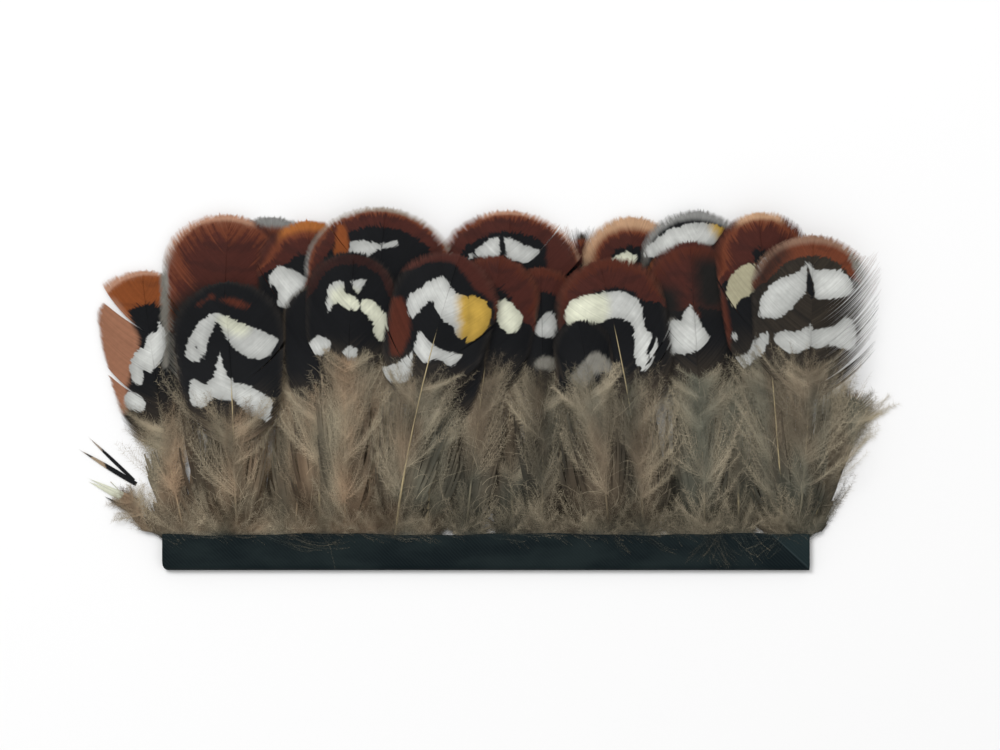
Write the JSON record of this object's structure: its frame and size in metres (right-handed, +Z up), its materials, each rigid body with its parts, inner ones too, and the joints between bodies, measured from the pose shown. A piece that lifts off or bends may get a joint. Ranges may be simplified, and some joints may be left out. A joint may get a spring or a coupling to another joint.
{
  "type": "pheasant feather fringe trim",
  "caption": "Length of feather fringe: barred pheasant body feathers with downy bases, their quills held side by side in a folded dark teal binding.",
  "frame": {"origin": "middle of the flat underside of the folded binding, 5 mm in from its fold, at the height of the surface that the trim lies on", "axes": "+X along the binding, to the right as seen from above with the feather tips away; +Y from the binding towards the feather tips; +Z up, out of the face that shows"},
  "size_m": [0.2155, 0.0977, 0.012],
  "materials": {
    "pheasant_vane": "natural feather keratin, barred and softly matt",
    "binding_satin": "dark teal twill satin"
  },
  "bodies": {
    "root": {"binding_tape": "binding_satin", "feather_01": "pheasant_vane", "feather_02": "pheasant_vane", "feather_03": "pheasant_vane", "feather_04": "pheasant_vane", "feather_05": "pheasant_vane", "feather_06": "pheasant_vane", "feather_07": "pheasant_vane", "feather_08": "pheasant_vane", "feather_09": "pheasant_vane", "feather_10": "pheasant_vane", "feather_11": "pheasant_vane", "feather_12": "pheasant_vane", "feather_13": "pheasant_vane", "feather_14": "pheasant_vane", "feather_15": "pheasant_vane", "feather_16": "pheasant_vane", "feather_17": "pheasant_vane", "feather_18": "pheasant_vane", "feather_19": "pheasant_vane", "feather_20": "pheasant_vane", "feather_21": "pheasant_vane", "feather_22": "pheasant_vane", "feather_23": "pheasant_vane", "feather_24": "pheasant_vane", "feather_25": "pheasant_vane"}
  },
  "joints": []
}
